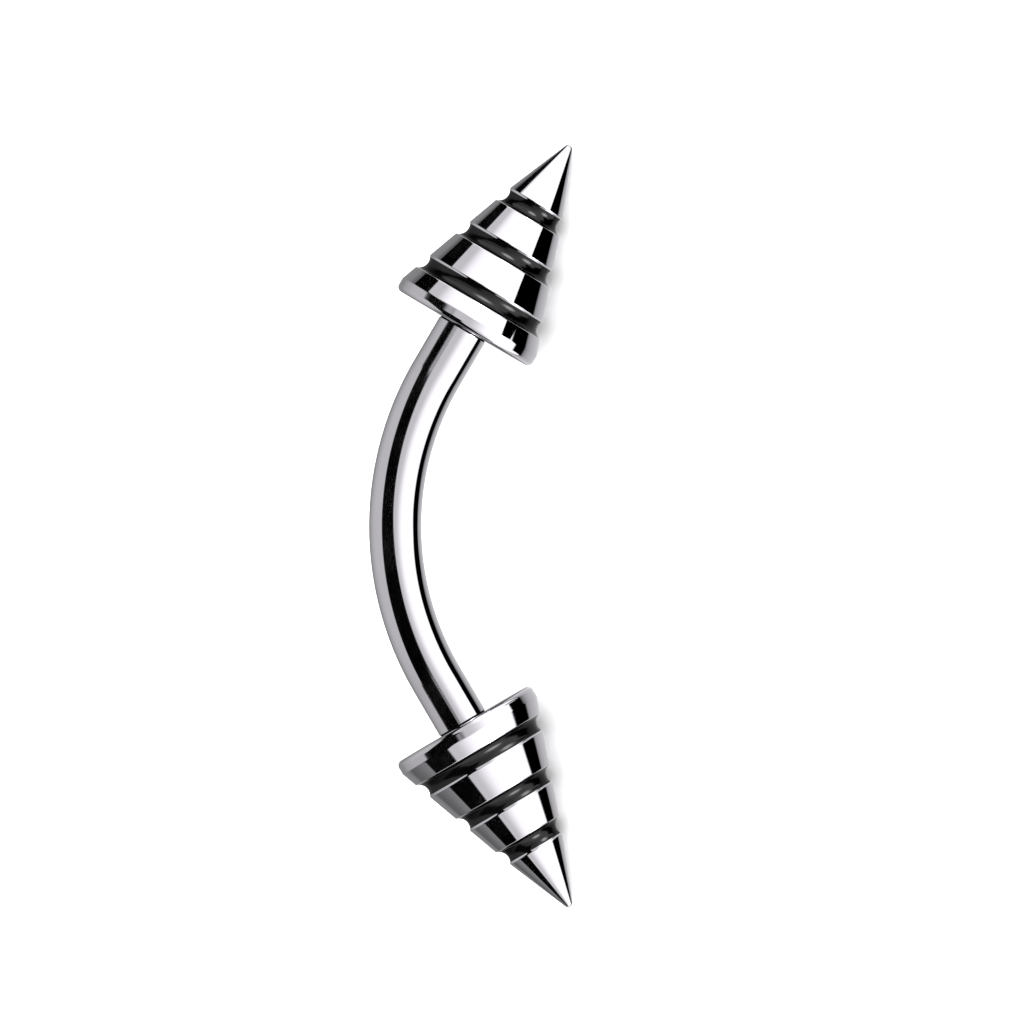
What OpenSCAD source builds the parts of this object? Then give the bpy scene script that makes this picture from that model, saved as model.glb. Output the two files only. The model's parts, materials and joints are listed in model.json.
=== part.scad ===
// Curved barbell for an eyebrow piercing: a bent steel bar with a grooved cone
// screwed on at each end. It lies on a surface as it would by itself, on the
// sides of both cones, with the bar arched above them.
// Millimetres. X is across the bar, Y runs from cone to cone, Z is up, and the
// origin is on the surface under the middle of the whole piece.

/* [Bar] */
// Diameter of the bar
bar_d = 1.19; // [1:0.01:1.6]
// Straight distance between the flat faces of the two cones
wear_length = 8.97; // [8:0.01:12]
// Radius of the bend, on the centre line of the bar
bend_r = 6.85; // [6:0.05:7.5]
// Lean of each straight end away from the line between the cones, in degrees
end_lean = 30.37; // [26:0.01:34]

/* [Thread] */
// Bevel where the bar narrows to the post, just before the face of the cone
foot_bevel = 0.04; // [0.02:0.01:0.1]
// Length of the post beyond the flat face of the cone
post_length = 1.8; // [1.4:0.05:1.9]
// Bevel on the end of the post
post_bevel = 0.12; // [0.05:0.01:0.2]
// Space all round the post in the hole of the cone
thread_gap = 0.02; // [0.01:0.01:0.05]
// Space between the end of the post and the bottom of the hole
end_gap = 0.05; // [0.03:0.01:0.15]
// Space round the bar at the wide mouth of the hole
mouth_gap = 0.06; // [0.05:0.01:0.1]

/* [Cone] */
// Largest diameter of the cone, at its rim
cone_d = 3.52; // [3.3:0.01:4.2]
// Height of the cone, from the flat face to the point
cone_height = 4.8; // [4.4:0.05:5.6]
// Slope of the side of the cone, in degrees from its axis
side_slope = 19.69; // [17:0.01:21]
// Height of the straight rim, up to where the sloping side starts
rim_height = 0.295; // [0.25:0.005:0.35]
// Radius between the flat face and the rim
rim_lower_r = 0.13; // [0.08:0.01:0.2]
// Radius between the rim and the sloping side
rim_upper_r = 0.08; // [0.05:0.01:0.2]
// Radius of the rounded point
tip_r = 0.1; // [0.06:0.002:0.2]

/* [Grooves] */
// Number of grooves round the cone
groove_count = 3; // [1:1:3]
// Height of the lower edge of the first groove above the flat face
first_groove = 0.665; // [0.5:0.005:0.7]
// Distance from one groove to the next, along the axis of the cone
groove_pitch = 1.115; // [1:0.001:1.2]
// Width of a groove, along the axis of the cone
groove_width = 0.388; // [0.3:0.002:0.5]
// Depth of a groove, square to the side of the cone
groove_depth = 0.112; // [0.08:0.001:0.13]
// Radius on the edges of a groove
edge_r = 0.035; // [0.02:0.005:0.05]

/* [Hidden] */

$fn = 96;
// Longest step round an arc of the cone's outline, in degrees
arc_step = 10;
// Extra turn of each half of the bend past the middle, where it is cut off
bend_spare = 1;
// Length by which a straight end runs on into the bend, so that the two join
join = 0.000001;
steel = [0.78, 0.78, 0.8];
dark_steel = [0.5, 0.5, 0.53];

bar_r = bar_d / 2;
cone_r = cone_d / 2;
post_r = bar_r - foot_bevel;
hole_r = post_r + thread_gap;
hole_depth = post_length + end_gap;
mouth_r = bar_r + mouth_gap;

// The bar in its own plane: x towards the points of the cones, y along the
// length. The centres of the cones' flat faces are on the line x = 0.
straight = (wear_length / 2 - bend_r * sin(end_lean)) / cos(end_lean);
bend_x = bend_r * cos(end_lean) - straight * sin(end_lean);
bar_middle_x = bend_x - bend_r;

// The outline of the cone is drawn as [radius, height], with the flat face at
// height 0. Angles are those of the outward normal above the radial direction.
rim_lower_at = [cone_r - rim_lower_r, rim_lower_r];
rim_upper_at = [cone_r - rim_upper_r, rim_height - rim_upper_r * tan(side_slope / 2)];
tip_at = [0, cone_height - tip_r];
side_start = rim_upper_at + rim_upper_r * along(side_slope);
tip_start = side_point(groove_edge(groove_count - 1) + groove_width);
tip_slope = tangent_slope(tip_start, 0, tip_at, tip_r);

// A groove is an arc that cuts the side at its two edges.
groove_chord = groove_width / cos(side_slope);
groove_r = (pow(groove_chord / 2, 2) + pow(groove_depth, 2)) / (2 * groove_depth);

// Lying down, the surface touches each cone along its sloping side, or from
// the rim to the point where the point reaches out further than the side.
contact = min(side_slope, tangent_slope(rim_upper_at, rim_upper_r, tip_at, tip_r));
roll = asin(sin(contact) / sin(end_lean));
lie_height = reach(rim_upper_at, rim_upper_r, contact);
// Reach across the bar: the points or rims on one side, the bar on the other.
across = asin(sin(end_lean) * cos(roll));
points_reach = max(reach(tip_at, tip_r, across), reach(rim_upper_at, rim_upper_r, across));
bar_reach = max(bar_r - bar_middle_x * cos(roll), reach(rim_lower_at, rim_lower_r, -across));

// Unit vector at an angle
function along(angle) = [cos(angle), sin(angle)];
// How far a circle of the outline reaches in the direction of an angle
function reach(centre, r, angle) = centre * along(angle) + r;
// Slope of the line that touches the outside of a lower and an upper circle
function tangent_slope(low, low_r, high, high_r) =
    atan((low.x - high.x) / (high.y - low.y)) + asin((low_r - high_r) / norm(high - low));
// Point of the sloping side at a height
function side_point(height) =
    [side_start.x - (height - side_start.y) * tan(side_slope), height];
// Height of the lower edge of a groove
function groove_edge(index) = first_groove + index * groove_pitch;
// Centre of the arc of a groove
function groove_at(index) =
    side_point(groove_edge(index) + groove_width / 2)
    + (groove_r - groove_depth) * along(side_slope);
// Centre of the rounding where a groove meets a side: side is -1 below the
// groove and 1 above it, slope is that of the line there through the point on
function edge_at(groove, on, slope, side) =
    let (out = (groove - on) * along(slope), up = (groove - on) * along(slope + 90))
    on - edge_r * along(slope)
    + (up + side * sqrt(pow(groove_r + edge_r, 2) - pow(out + edge_r, 2))) * along(slope + 90);
// Direction from one point to another, from 0 to 360 degrees
function heading(from, to) = (atan2(to.y - from.y, to.x - from.x) + 360) % 360;
// Points along an arc, in steps of arc_step or a little less
function arc(centre, r, from, to) =
    let (steps = ceil(abs(to - from) / arc_step))
    [for (i = [0:steps]) centre + r * along(from + (to - from) * i / steps)];
// One groove with its rounded edges, from the side below it to the side above
function groove_outline(index) =
    let (upper_slope = index == groove_count - 1 ? tip_slope : side_slope)
    let (groove = groove_at(index))
    let (lower = edge_at(groove, side_start, side_slope, -1))
    let (upper = edge_at(groove, tip_start, upper_slope, 1))
    let (from = heading(groove, lower), to = heading(groove, upper))
    concat(
        arc(lower, edge_r, side_slope, from - 180),
        arc(groove, groove_r, from, to),
        arc(upper, edge_r, to - 180, upper_slope)
    );

// One cone, standing on its flat face, with the hole for the post
module grooved_cone() {
    rotate_extrude()
        polygon(concat(
            arc(rim_lower_at, rim_lower_r, -90, 0),
            arc(rim_upper_at, rim_upper_r, 0, side_slope),
            [for (index = [0:groove_count - 1]) each groove_outline(index)],
            arc(tip_at, tip_r, tip_slope, 90),
            [[0, hole_depth], [hole_r, hole_depth], [hole_r, mouth_r - hole_r], [mouth_r, 0]]
        ));
}

// One end of the bar, upright: the post above z = 0, the straight stretch
// below it, and half of the bend with a little to spare
module bar_end() {
    rotate_extrude()
        polygon([
            [0, -straight - join], [bar_r, -straight - join], [bar_r, -foot_bevel],
            [post_r, 0], [post_r, post_length - post_bevel],
            [post_r - post_bevel, post_length], [0, post_length]
        ]);
    translate([bend_r, 0, -straight])
        rotate([90, 0, 0])
            rotate_extrude(start = 180, angle = end_lean + bend_spare)
                translate([bend_r, 0]) circle(bar_r);
}

// The upper half of the bar, cut square at its middle
module half_bar() {
    difference() {
        at_upper_end() bar_end();
        translate([-bend_r, -bend_r, -bend_r]) cube([2 * bend_r, bend_r, 2 * bend_r]);
    }
}

// Moves an upright piece from the origin to the upper end of the bar
module at_upper_end() {
    translate([0, wear_length / 2, 0]) rotate([0, 0, -end_lean]) rotate([-90, 0, 0]) children();
}

// Rolls the piece about its length until both cones lie on the surface
module lying() {
    translate([(bar_reach - points_reach) / 2, 0, lie_height]) rotate([0, roll, 0]) children();
}

module curved_bar() {
    color(dark_steel)
        lying() {
            half_bar();
            mirror([0, 1, 0]) half_bar();
        }
}

module upper_cone() {
    color(steel) lying() at_upper_end() grooved_cone();
}

module lower_cone() {
    color(steel) lying() mirror([0, 1, 0]) at_upper_end() grooved_cone();
}

curved_bar();
upper_cone();
lower_cone();
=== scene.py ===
"""Curved barbell with a grooved cone screwed on at each end, lying on a pale floor."""

import json
import math

import bpy
import numpy as np
from mathutils import Matrix, Vector


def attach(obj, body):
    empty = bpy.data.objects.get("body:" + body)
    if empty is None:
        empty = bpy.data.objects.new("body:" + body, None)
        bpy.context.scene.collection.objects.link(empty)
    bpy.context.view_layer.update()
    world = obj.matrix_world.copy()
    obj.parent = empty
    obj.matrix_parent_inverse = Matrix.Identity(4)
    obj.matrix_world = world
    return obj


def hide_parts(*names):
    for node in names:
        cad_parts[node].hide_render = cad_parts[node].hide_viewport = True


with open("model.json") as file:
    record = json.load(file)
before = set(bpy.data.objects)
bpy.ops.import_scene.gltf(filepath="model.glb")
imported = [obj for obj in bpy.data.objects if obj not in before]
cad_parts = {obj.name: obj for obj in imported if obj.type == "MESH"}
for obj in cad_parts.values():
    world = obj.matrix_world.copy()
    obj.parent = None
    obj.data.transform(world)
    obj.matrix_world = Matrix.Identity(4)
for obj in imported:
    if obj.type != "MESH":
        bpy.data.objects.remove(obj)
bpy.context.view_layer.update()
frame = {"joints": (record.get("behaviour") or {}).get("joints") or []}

# Sizes of the solids, in millimetres and degrees
MM = 0.001
BAR_R = 0.595
BEND_R = 6.85
FOOT_BEVEL = 0.04
POST_R = BAR_R - FOOT_BEVEL
POST_LENGTH = 1.8
POST_BEVEL = 0.12
HOLE_R = POST_R + 0.02
HOLE_DEPTH = POST_LENGTH + 0.05
MOUTH_R = BAR_R + 0.06
CONE_R = 1.76
CONE_HEIGHT = 4.8
SIDE_SLOPE = 19.69
RIM_HEIGHT = 0.295
RIM_LOWER_R = 0.13
RIM_UPPER_R = 0.08
TIP_R = 0.1
GROOVE_COUNT = 3
FIRST_GROOVE = 0.665
GROOVE_PITCH = 1.115
GROOVE_WIDTH = 0.388
GROOVE_DEPTH = 0.112
EDGE_R = 0.035
# Part of a groove, from its lower edge, that keeps its black colour
BLACK_PART = 0.935

# Fineness of the meshes: steps round a piece, and degrees along an arc of an outline and the bend
ROUND_STEPS = 256
ARC_STEP = 5
BEND_STEP = 1

# Places of the finishes in a piece's material slots; only the cones have the last
POLISHED = 0
# The second finish is dull steel darkened as painted shade for the seam where the bar meets a cone
SEAM_SHADE = 1
BLACKENED = 2

# Colours of the three finishes; the dark second one is painted shade, the shade of the seam where
# the bar meets a cone
POLISHED_COLOUR = (0.787, 0.768, 0.815, 1)
SEAM_SHADE_COLOUR = (0.09, 0.088, 0.09, 1)
BLACKENED_COLOUR = (0.036, 0.036, 0.0365, 1)
# How fine the marks are, round a piece and along each millimetre of its outline
MARKS_ROUND = 3
MARKS_ALONG = 30
# How fine the smears left by handling are, along each metre, and the noise levels at which they
# start and are full
SMEAR_SCALE = 900
SMEAR_RANGE = (0.35, 0.7)

# Camera, in millimetres in the plane of the bar's bend
CAMERA_DISTANCE = 600
CAMERA_LENS = 930.5
AIM = (1.109, 0.32)

# Length of each side of the floor, in metres
FLOOR_SIZE = 0.8

# Studio, by direction from the piece: the angle up along the bar, and the angle round the bar
# from the camera towards the cones' points. These are the spans of the two, and each edge between
# a card and the next is a list of pairs of them.
RISE_SPAN = 180
TURN_SPAN = 360
GREY_PANEL_EDGE = [
    (-66, -84), (-59, -92), (-42, -88), (-33, -79), (-30, -76), (-28, -68), (-23, -66), (-13, -63),
    (0, -61), (13, -62), (23, -65), (28, -68), (30, -76), (33, -80), (42, -88), (46, -130),
    (60, -150),
]
LEFT_CARD_EDGE = [
    (-80, 40), (-74, 10), (-66, -15), (-60, -19), (-54, -17), (-49, -16), (-28, -20),
    (-8.5, -13.5), (-5, -7.5), (-2, -4.5), (-0.8, -3), (0, -8), (2.4, -12), (6.4, -16),
    (12.3, -21.6), (14, -25), (17, -31), (19.5, -35), (28, -45), (39, -56), (57, -75), (65, -90),
]
WHITE_EDGE = [(-66, 13), (-36, 12), (-12, 16), (10, 16), (25, 2), (57, -32), (61, -38), (65, -75)]
RIGHT_CARD_NEAR_EDGE = [
    (-60, 116), (-40, 113), (-34, 101), (-30, 87), (-20, 84.5), (-4, 84), (-1, 85), (2, 85.5),
    (5, 84), (14, 81), (20, 80), (25, 78.5), (29.5, 77), (36, 100), (42, 107), (60, 108),
]
RIGHT_CARD_FAR_EDGE = [
    (-60, 116), (-30, 113.5), (-12, 112), (-6, 116), (6, 117), (12, 112), (30, 109.5), (60, 109),
]
# How soft the cards' edges and the edge of the white are, in degrees each way
CARD_BLUR = 2
WHITE_BLUR = 16
# Brightness behind the left card by the angle round the bar, and how it fades with the angle up
LEFT_GREY = [
    (-180, 0.3), (-171, 0.28), (-160, 0.28), (-147, 0.31), (-134, 0.42), (-123, 0.48),
    (-100, 0.58), (-60, 0.6),
]
LEFT_FADE = [
    (-60, 0.42), (-44, 0.34), (-32, 0.85), (-18, 0.98), (18, 1), (30, 0.95), (45, 0.32), (60, 0.1),
]
RIGHT_GREY = [
    (110, 0.12), (118, 0.3), (123, 0.41), (128, 0.47), (135, 0.54), (150, 0.61), (165, 0.68),
    (180, 0.8),
]
# Brightness of the softbox at its border, past it, at its hot spots and as it lights the floor
PLATEAU_LIGHT = 0.66
WHITE_LIGHT = 1.3
HOT_LIGHT = 9.5
FLOOR_LIGHT = 2.4
# Hot spots of the softbox, which show in the black grooves: angle up, angle round, reach
HOT_SPOTS = [(40, 38, 17), (-28, 50, 17)]
# Black card beside the upper cone, square to a line that leaves the bar's middle at this angle
# round it: its corners across that line, towards the camera, and along the bar
NEAR_CARD_TURN = 70
NEAR_CARD_DISTANCE = 11.5
NEAR_CARD = [
    (1.6, 4.35), (1.5, 5.6), (1.1, 6.6), (0.3, 7.7), (-1.3, 8.9), (-1.8, 9.6), (-6, 9.6),
    (-6, 4.35),
]


def bar_plane():
    """The plane of the bar's bend, in millimetres: its origin is midway between the cones' faces,
    X points the way that both cones lean, Y from the lower cone to the upper, Z up out of it.
    Gives also the lean of each end from Y, and the distance between the faces."""
    joints = {joint["child"]: joint for joint in frame["joints"]}
    upper, lower = joints["upper_end"], joints["lower_end"]
    middle = (Vector(upper["pos_m"]) + Vector(lower["pos_m"])) / 2 / MM
    across = (Vector(upper["axis"]) + Vector(lower["axis"])).normalized()
    run = (Vector(upper["pos_m"]) - Vector(lower["pos_m"])) / MM
    along = run.normalized()
    turned = Matrix((across, along, across.cross(along))).transposed().to_4x4()
    lean = math.degrees(Vector(upper["axis"]).angle(along))
    return Matrix.Translation(middle) @ turned, lean, run.length


PLANE, END_LEAN, WEAR_LENGTH = bar_plane()
STRAIGHT = (WEAR_LENGTH / 2 - BEND_R * math.sin(math.radians(END_LEAN))) / math.cos(
    math.radians(END_LEAN)
)
BEND_X = BEND_R * math.cos(math.radians(END_LEAN)) - STRAIGHT * math.sin(math.radians(END_LEAN))


def placed(x, y, heading):
    """A frame in the plane of the bend: its Z axis is turned by heading from Y towards X"""
    turn = math.radians(heading)
    out = Vector((math.sin(turn), math.cos(turn), 0))
    across = Vector((math.cos(turn), -math.sin(turn), 0))
    axes = Matrix((across, out.cross(across), out)).transposed().to_4x4()
    return np.array(PLANE @ Matrix.Translation((x, y, 0)) @ axes)


def unit(angle):
    """Unit vector (radial, axial) at an angle above the radial direction"""
    return np.array([math.cos(math.radians(angle)), math.sin(math.radians(angle))])


def arc(centre, radius, start, end, hollow=False):
    """Points of an outline along an arc: radius, height and the tilt of the surface's normal"""
    count = max(2, math.ceil(abs(end - start) / ARC_STEP))
    return [
        (*(centre + radius * unit(angle)), angle - 180 if hollow else angle)
        for angle in np.linspace(start, end, count + 1)
    ]


RIM_LOWER = np.array([CONE_R - RIM_LOWER_R, RIM_LOWER_R])
RIM_UPPER = np.array(
    [CONE_R - RIM_UPPER_R, RIM_HEIGHT - RIM_UPPER_R * math.tan(math.radians(SIDE_SLOPE / 2))]
)
TIP = np.array([0, CONE_HEIGHT - TIP_R])
SIDE_START = RIM_UPPER + RIM_UPPER_R * unit(SIDE_SLOPE)
GROOVE_CHORD = GROOVE_WIDTH / math.cos(math.radians(SIDE_SLOPE))
GROOVE_R = ((GROOVE_CHORD / 2) ** 2 + GROOVE_DEPTH**2) / (2 * GROOVE_DEPTH)


def side_point(height):
    """Point of the sloping side at a height"""
    back = (height - SIDE_START[1]) * math.tan(math.radians(SIDE_SLOPE))
    return np.array([SIDE_START[0] - back, height])


def groove_edge(index):
    """Height of the lower edge of a groove"""
    return FIRST_GROOVE + index * GROOVE_PITCH


TIP_START = side_point(groove_edge(GROOVE_COUNT - 1) + GROOVE_WIDTH)
TIP_RUN = TIP - TIP_START
TIP_SLOPE = math.degrees(
    math.atan(-TIP_RUN[0] / TIP_RUN[1]) - math.asin(TIP_R / math.hypot(*TIP_RUN))
)


def edge_centre(groove, on, slope, side):
    """Centre of the rounding where a groove meets the side below it (-1) or above it (1)"""
    out, up = (groove - on) @ unit(slope), (groove - on) @ unit(slope + 90)
    reach = math.sqrt((GROOVE_R + EDGE_R) ** 2 - (out + EDGE_R) ** 2)
    return on - EDGE_R * unit(slope) + (up + side * reach) * unit(slope + 90)


def heading(start, end):
    """Direction from one point to another, from 0 to 360 degrees"""
    return math.degrees(math.atan2(end[1] - start[1], end[0] - start[0])) % 360


def groove_strips(index):
    """One groove: its lower edge, the groove and its upper edge, each with its finish"""
    upper_slope = TIP_SLOPE if index == GROOVE_COUNT - 1 else SIDE_SLOPE
    middle = side_point(groove_edge(index) + GROOVE_WIDTH / 2)
    groove = middle + (GROOVE_R - GROOVE_DEPTH) * unit(SIDE_SLOPE)
    lower = edge_centre(groove, SIDE_START, SIDE_SLOPE, -1)
    upper = edge_centre(groove, TIP_START, upper_slope, 1)
    start, end = heading(groove, lower), heading(groove, upper)
    bare = start + (end - start) * BLACK_PART
    return [
        (arc(lower, EDGE_R, SIDE_SLOPE, start - 180), POLISHED),
        (arc(groove, GROOVE_R, start, bare, hollow=True), BLACKENED),
        (arc(groove, GROOVE_R, bare, end, hollow=True), POLISHED),
        (arc(upper, EDGE_R, end - 180, upper_slope), POLISHED),
    ]


def line(start, end):
    """A straight strip of an outline, with the solid on the left of the way it runs"""
    tilt = heading(start, end) - 90
    return [(*start, tilt), (*end, tilt)]


def cone_strips():
    """Outline of a cone from the middle of its hole round to the same place"""
    strips = [
        (line((MOUTH_R, 0), (CONE_R - RIM_LOWER_R, 0)), POLISHED),
        (arc(RIM_LOWER, RIM_LOWER_R, -90, 0), POLISHED),
        (line((CONE_R, RIM_LOWER_R), (CONE_R, RIM_UPPER[1])), POLISHED),
        (arc(RIM_UPPER, RIM_UPPER_R, 0, SIDE_SLOPE), POLISHED),
    ]
    for index in range(GROOVE_COUNT):
        grooved = groove_strips(index)
        strips.append((line(strips[-1][0][-1][:2], grooved[0][0][0][:2]), POLISHED))
        strips += grooved
    tip = arc(TIP, TIP_R, TIP_SLOPE, 90)
    strips.append((line(strips[-1][0][-1][:2], tip[0][:2]), POLISHED))
    strips.append((tip, POLISHED))
    hole = [(0, HOLE_DEPTH), (HOLE_R, HOLE_DEPTH), (HOLE_R, MOUTH_R - HOLE_R), (MOUTH_R, 0)]
    # The hole and its mouth take the dark finish, painted shade for the seam round the bar
    return strips + [(line(a, b), SEAM_SHADE) for a, b in zip(hole, hole[1:])]


def bar_end_strips(side):
    """Outline of one end of the bar, from the tip of its post (side -1) or to it (side 1)"""
    corners = [
        (0, -POST_LENGTH),
        (POST_R - POST_BEVEL, -POST_LENGTH),
        (POST_R, POST_BEVEL - POST_LENGTH),
        (POST_R, 0),
        (BAR_R, FOOT_BEVEL),
        (BAR_R, STRAIGHT),
    ]
    if side > 0:
        corners = [(radius, -height) for radius, height in reversed(corners)]
    # The post and the bevel at its foot take the dark finish, painted shade for the seam under the
    # cone
    return [
        (line(a, b), POLISHED if a[0] == b[0] == BAR_R else SEAM_SHADE)
        for a, b in zip(corners, corners[1:])
    ]


TURNS = np.linspace(0, 2 * math.pi, ROUND_STEPS, endpoint=False)


def ring(place, radius, height, tilt):
    """Points and outward normals round one ring of a turned surface"""
    radial, axial = unit(tilt)
    ones = np.ones(ROUND_STEPS)
    points = np.stack([radius * np.cos(TURNS), radius * np.sin(TURNS), height * ones, ones])
    normals = np.stack([radial * np.cos(TURNS), radial * np.sin(TURNS), axial * ones])
    return (place @ points)[:3].T, (place[:3, :3] @ normals).T, radius


def skin(name, strips, materials):
    """A closed mesh through strips of rings, with each ring's own normals"""
    points, faces, normals, finishes, uvs = [], [], [], [], []
    seen = {}

    def first_point(spot, radius):
        """Index of a ring's first point; rings at the same place share their points"""
        key = tuple(np.round(spot.mean(0), 7)) + (round(float(radius), 7),)
        if key not in seen:
            seen[key] = len(points)
            points.extend(spot[:1] if radius == 0 else spot)
        return seen[key]

    run = 0
    for rings, finish in strips:
        for (low, low_out, low_r), (high, high_out, high_r) in zip(rings, rings[1:]):
            a, b = first_point(low, low_r), first_point(high, high_r)
            step = float(np.linalg.norm(high[0] - low[0]))
            for i in range(ROUND_STEPS):
                j = (i + 1) % ROUND_STEPS
                corners = [(a + i, low_out[i], i, run), (a + j, low_out[j], i + 1, run)]
                top = [(b + j, high_out[j], i + 1, run + step), (b + i, high_out[i], i, run + step)]
                if low_r == 0:
                    corners = [(a, low_out[i], i, run)] + top
                elif high_r == 0:
                    corners += [(b, high_out[i], i, run + step)]
                else:
                    corners += top
                faces.append([corner[0] for corner in corners])
                normals += [tuple(corner[1]) for corner in corners]
                uvs += [(corner[2] / ROUND_STEPS, corner[3]) for corner in corners]
                finishes.append(finish)
            run += step
    mesh = bpy.data.meshes.new(name)
    mesh.from_pydata([tuple(point * MM) for point in points], [], faces)
    mesh.polygons.foreach_set("material_index", finishes)
    mesh.shade_smooth()
    mesh.uv_layers.new(name="turned").data.foreach_set("uv", np.ravel(uvs))
    mesh.normals_split_custom_set(normals)
    for material in materials:
        mesh.materials.append(material)
    piece = bpy.data.objects.new(name, mesh)
    bpy.context.scene.collection.objects.link(piece)
    return piece


def turned_strips(place, strips):
    """Strips of an outline turned round their axis at a place"""
    return [([ring(place, *point) for point in outline], finish) for outline, finish in strips]


def make_cone(name, place, materials):
    """A grooved cone on its flat face at a place"""
    return skin(name, turned_strips(place, cone_strips()), materials)


def make_bar(name, materials):
    """The bent bar with its two posts, from the lower end to the upper end"""
    bend = []
    for turn in np.linspace(-END_LEAN, END_LEAN, math.ceil(2 * END_LEAN / BEND_STEP) + 1):
        across, along = unit(turn) * BEND_R
        bend.append(ring(placed(BEND_X - across, along, turn), BAR_R, 0, 0))
    lower = turned_strips(placed(0, -WEAR_LENGTH / 2, -END_LEAN), bar_end_strips(-1))
    upper = turned_strips(placed(0, WEAR_LENGTH / 2, END_LEAN), bar_end_strips(1))
    return skin(name, lower + [(bend, POLISHED)] + upper, materials)


class Nodes:
    """Short calls for a shader tree: each takes numbers, vectors or sockets and returns a socket"""

    def __init__(self, tree):
        self.tree = tree

    def add(self, kind, inputs=(), output=0, **settings):
        """A node with its inputs filled in order, where None leaves one as it is, and then by
        name, as its settings are"""
        node = self.tree.nodes.new(kind)
        filled = list(zip(node.inputs, inputs))
        for name, value in settings.items():
            if name in node.inputs:
                filled.append((node.inputs[name], value))
            else:
                setattr(node, name, value)
        for socket, value in filled:
            if isinstance(value, bpy.types.NodeSocket):
                self.tree.links.new(value, socket)
            elif value is not None:
                socket.default_value = value
        return node.outputs[output]

    def math(self, operation, *values, clamp=False):
        """A Math node"""
        return self.add("ShaderNodeMath", values, operation=operation, use_clamp=clamp)

    def dot(self, vector, axis):
        """Part of a vector along an axis"""
        return self.add("ShaderNodeVectorMath", (vector, axis), 1, operation="DOT_PRODUCT")

    def noise(self, vector, scale, detail):
        """Smooth noise between 0 and 1"""
        return self.add("ShaderNodeTexNoise", (vector, None, scale, detail))

    def step(self, value, start, end, low=0.0, high=1.0, kind="SMOOTHSTEP"):
        """A value mapped smoothly from one range to another"""
        inputs = (value, start, end, low, high)
        return self.add("ShaderNodeMapRange", inputs, interpolation_type=kind)

    def mix(self, factor, low, high):
        """A number between two others"""
        return self.add("ShaderNodeMix", (factor, None, low, high), data_type="FLOAT")

    def curve(self, angle, span, pairs):
        """A smooth curve through pairs of an angle, within half its span either way, and a value
        from 0 to 1"""
        share = self.math("ADD", self.math("DIVIDE", angle, span), 0.5)
        socket = self.add("ShaderNodeFloatCurve", (1.0, share))
        curve = socket.node.mapping.curves[0]
        places = [(at / span + 0.5, value) for at, value in pairs]
        for old, place in zip(list(curve.points), (places[0], places[-1])):
            old.location = place
        for place in places[1:-1]:
            curve.points.new(*place)
        for point in curve.points:
            point.handle_type = "AUTO_CLAMPED"
        socket.node.mapping.update()
        return socket


def shader_material(name):
    """A new material, its node tree and its shader"""
    material = bpy.data.materials.new(name)
    material.use_nodes = True
    tree = material.node_tree
    return material, tree, tree.nodes["Principled BSDF"]


def turned_marks(nodes, across, along):
    """Noise drawn out round a turned piece: how fine it is round the piece and along it"""
    uv = nodes.add("ShaderNodeUVMap", uv_map="turned")
    parts = nodes.add("ShaderNodeSeparateXYZ", (uv,)).node.outputs
    turn = nodes.math("MULTIPLY", parts["X"], 2 * math.pi)
    x = nodes.math("MULTIPLY", nodes.math("COSINE", turn), across)
    y = nodes.math("MULTIPLY", nodes.math("SINE", turn), across)
    z = nodes.math("MULTIPLY", parts["Y"], along)
    return nodes.noise(nodes.add("ShaderNodeCombineXYZ", (x, y, z)), 1, 3)


def mark(nodes, shader, depth, low, high):
    """Gives a shader fine marks of a depth in millimetres, and a roughness that varies between
    two values as if lightly handled"""
    marks = turned_marks(nodes, MARKS_ROUND, MARKS_ALONG)
    bump = nodes.add("ShaderNodeBump", Height=marks, Strength=1.0, Distance=depth * MM)
    nodes.tree.links.new(bump, shader.inputs["Normal"])
    place = nodes.add("ShaderNodeTexCoord", output="Object")
    smears = nodes.step(nodes.noise(place, SMEAR_SCALE, 4), *SMEAR_RANGE, low, high)
    nodes.tree.links.new(smears, shader.inputs["Roughness"])


def polished_steel():
    """Mirror-polished steel with faint polishing marks round each piece"""
    material, tree, shader = shader_material("polished_steel")
    shader.inputs["Base Color"].default_value = POLISHED_COLOUR
    shader.inputs["Metallic"].default_value = 1
    mark(Nodes(tree), shader, depth=0.00008, low=0.03, high=0.06)
    return material


def blackened_steel():
    """Glossy black coating in the turned grooves, dimmer than plain metal at a low angle"""
    material, tree, shader = shader_material("blackened_steel")
    shader.inputs["Base Color"].default_value = BLACKENED_COLOUR
    shader.inputs["Metallic"].default_value = 1
    shader.inputs["Specular Tint"].default_value = (0.65, 0.65, 0.65, 1)
    mark(Nodes(tree), shader, depth=0.0003, low=0.14, high=0.2)
    return material


def seam_shade_steel():
    """Dull steel inside the cones' holes, on the posts and in the seam between them, its dark
    colour painted shade for the seam's gap
    """
    material, tree, shader = shader_material("seam_shade_steel")
    shader.inputs["Base Color"].default_value = SEAM_SHADE_COLOUR
    shader.inputs["Metallic"].default_value = 1
    shader.inputs["Roughness"].default_value = 0.45
    return material


def build_pieces():
    """The bar and the two cones, each in place of its plain solid"""
    finishes = [polished_steel(), seam_shade_steel(), blackened_steel()]
    bar = make_bar("steel_bar", finishes[:BLACKENED])
    upper = make_cone("upper_grooved_cone", placed(0, WEAR_LENGTH / 2, END_LEAN), finishes)
    lower = make_cone("lower_grooved_cone", placed(0, -WEAR_LENGTH / 2, 180 - END_LEAN), finishes)
    for piece, body, node, slot in (
        (bar, "bar", "curved_bar", "bar_steel"),
        (upper, "upper_end", "upper_cone", "cone_steel"),
        (lower, "lower_end", "lower_cone", "cone_steel"),
    ):
        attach(piece, body)
        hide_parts(node)


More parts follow.
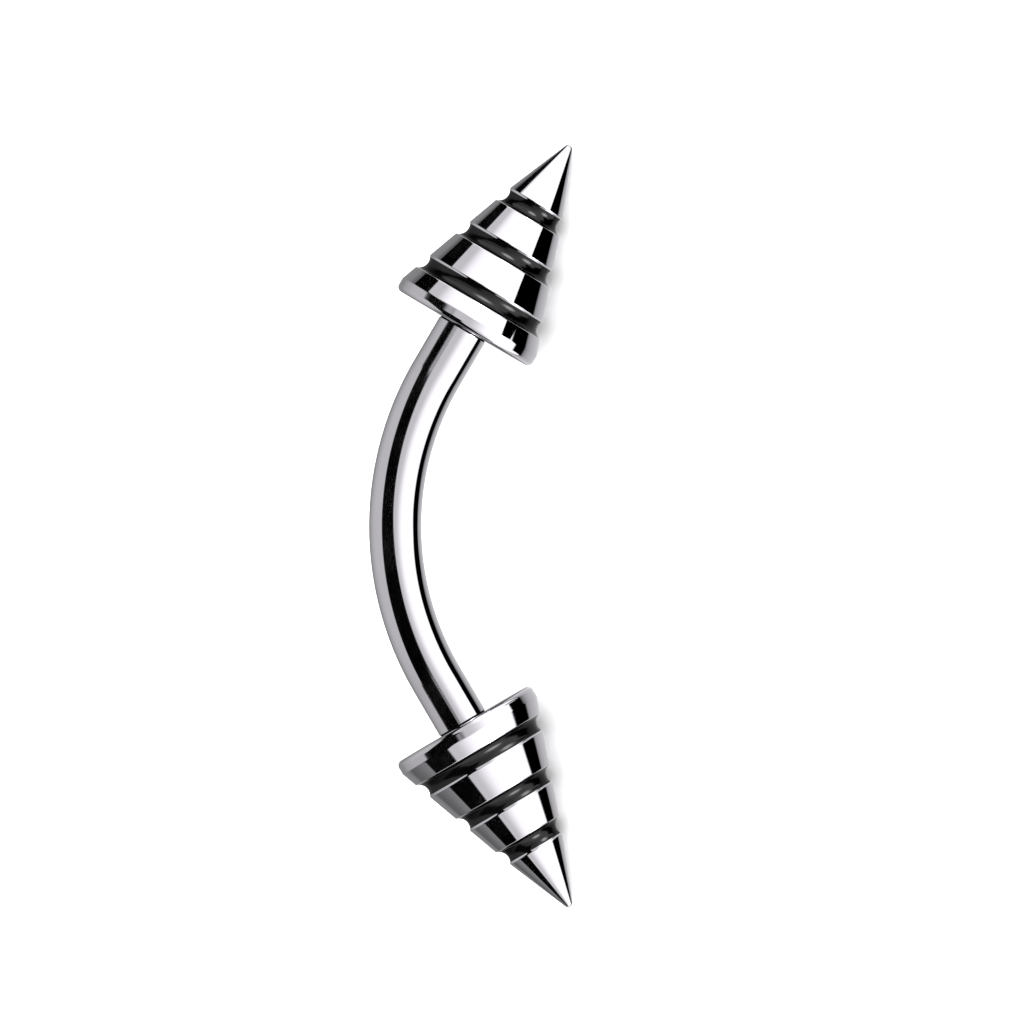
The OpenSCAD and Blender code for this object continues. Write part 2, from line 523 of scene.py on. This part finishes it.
def build_floor():
    """A plain pale floor"""
    half = FLOOR_SIZE / 2
    mesh = bpy.data.meshes.new("floor")
    corners = [(-half, -half, 0), (half, -half, 0), (half, half, 0), (-half, half, 0)]
    mesh.from_pydata(corners, [], [(0, 1, 2, 3)])
    material, tree, shader = shader_material("pale_floor")
    shader.inputs["Base Color"].default_value = (0.9, 0.9, 0.9, 1)
    shader.inputs["Roughness"].default_value = 0.9
    mesh.materials.append(material)
    floor = bpy.data.objects.new("floor", mesh)
    bpy.context.scene.collection.objects.link(floor)
    floor.visible_glossy = False


def build_near_card():
    """A small black card beside the upper cone, seen in its polished sides alone"""
    facing = Matrix.Rotation(math.radians(NEAR_CARD_TURN - 90), 4, "Y")
    middle = facing @ Matrix.Translation((NEAR_CARD_DISTANCE, 0, 0))
    points = [(PLANE @ middle @ Vector((0, y, z))) * MM for z, y in NEAR_CARD]
    mesh = bpy.data.meshes.new("near_card")
    mesh.from_pydata(points, [], [range(len(points))])
    material, tree, shader = shader_material("black_card")
    shader.inputs["Base Color"].default_value = (0, 0, 0, 1)
    shader.inputs["Roughness"].default_value = 1
    shader.inputs["Specular IOR Level"].default_value = 0
    mesh.materials.append(material)
    card = bpy.data.objects.new("near_card", mesh)
    bpy.context.scene.collection.objects.link(card)
    card.visible_camera = card.visible_diffuse = card.visible_shadow = False
    card.visible_transmission = card.visible_volume_scatter = False


def direction_at(rise, turn):
    """The direction at an angle up along the bar and an angle round it"""
    rise, turn = math.radians(rise), math.radians(turn)
    flat = math.cos(rise)
    x, y, z = flat * math.sin(turn), math.sin(rise), flat * math.cos(turn)
    return tuple(PLANE.to_3x3() @ Vector((x, y, z)))


def studio_light(nodes, direction):
    """Brightness that the polished steel reflects from a direction: a wide white softbox with a
    dimmer border, grey panels behind the piece and a black card on each side"""
    across, along, out = (tuple(PLANE.col[i].to_3d()) for i in range(3))
    x, y, z = (nodes.dot(direction, axis) for axis in (across, along, out))
    turn = nodes.math("DEGREES", nodes.math("ARCTAN2", x, z))
    rise = nodes.math("DEGREES", nodes.math("ARCSINE", y))

    def past(edge):
        """How far a direction lies past a card's edge, in degrees"""
        share = nodes.curve(rise, RISE_SPAN, [(up, at / TURN_SPAN + 0.5) for up, at in edge])
        at = nodes.math("MULTIPLY", nodes.math("SUBTRACT", share, 0.5), TURN_SPAN)
        return nodes.math("SUBTRACT", turn, at)

    def beyond(edge, blur=CARD_BLUR):
        """0 before a card's edge and 1 past it"""
        return nodes.step(past(edge), -blur, blur)

    left_grey = nodes.math(
        "MULTIPLY",
        nodes.curve(turn, TURN_SPAN, LEFT_GREY),
        nodes.curve(rise, RISE_SPAN, LEFT_FADE),
    )
    right_grey = nodes.curve(turn, TURN_SPAN, RIGHT_GREY)
    white = WHITE_LIGHT
    for spot_rise, spot_turn, reach in HOT_SPOTS:
        spot = direction_at(spot_rise, spot_turn)
        near = nodes.step(nodes.dot(direction, spot), math.cos(math.radians(reach)), 1)
        white = nodes.mix(near, white, HOT_LIGHT)
    light = nodes.mix(beyond(GREY_PANEL_EDGE), left_grey, 0)
    light = nodes.mix(beyond(LEFT_CARD_EDGE), light, PLATEAU_LIGHT)
    light = nodes.mix(beyond(WHITE_EDGE, WHITE_BLUR), light, white)
    light = nodes.mix(beyond(RIGHT_CARD_NEAR_EDGE), light, 0)
    return nodes.mix(beyond(RIGHT_CARD_FAR_EDGE), light, right_grey)


def build_studio():
    """Even soft light on the floor, and the studio's cards in what the steel reflects"""
    world = bpy.data.worlds.new("studio")
    bpy.context.scene.world = world
    world.use_nodes = True
    nodes = Nodes(world.node_tree)
    direction = nodes.add("ShaderNodeTexCoord")
    glossy = nodes.add("ShaderNodeLightPath", output="Is Glossy Ray")
    strength = nodes.mix(glossy, FLOOR_LIGHT, studio_light(nodes, direction))
    background = world.node_tree.nodes["Background"]
    background.inputs["Color"].default_value = (1, 1, 1, 1)
    world.node_tree.links.new(strength, background.inputs["Strength"])


def build_camera():
    """The camera looks square onto the plane of the bar's bend, from above the floor"""
    data = bpy.data.cameras.new("camera")
    data.lens = CAMERA_LENS
    data.clip_start, data.clip_end = 0.01, 10
    camera = bpy.data.objects.new("camera", data)
    camera.matrix_world = PLANE @ Matrix.Translation((*AIM, CAMERA_DISTANCE))
    camera.location = camera.matrix_world.translation * MM
    bpy.context.scene.collection.objects.link(camera)
    bpy.context.scene.camera = camera


build_pieces()
build_floor()
build_near_card()
build_studio()
build_camera()
bpy.context.scene.view_settings.view_transform = "Standard"
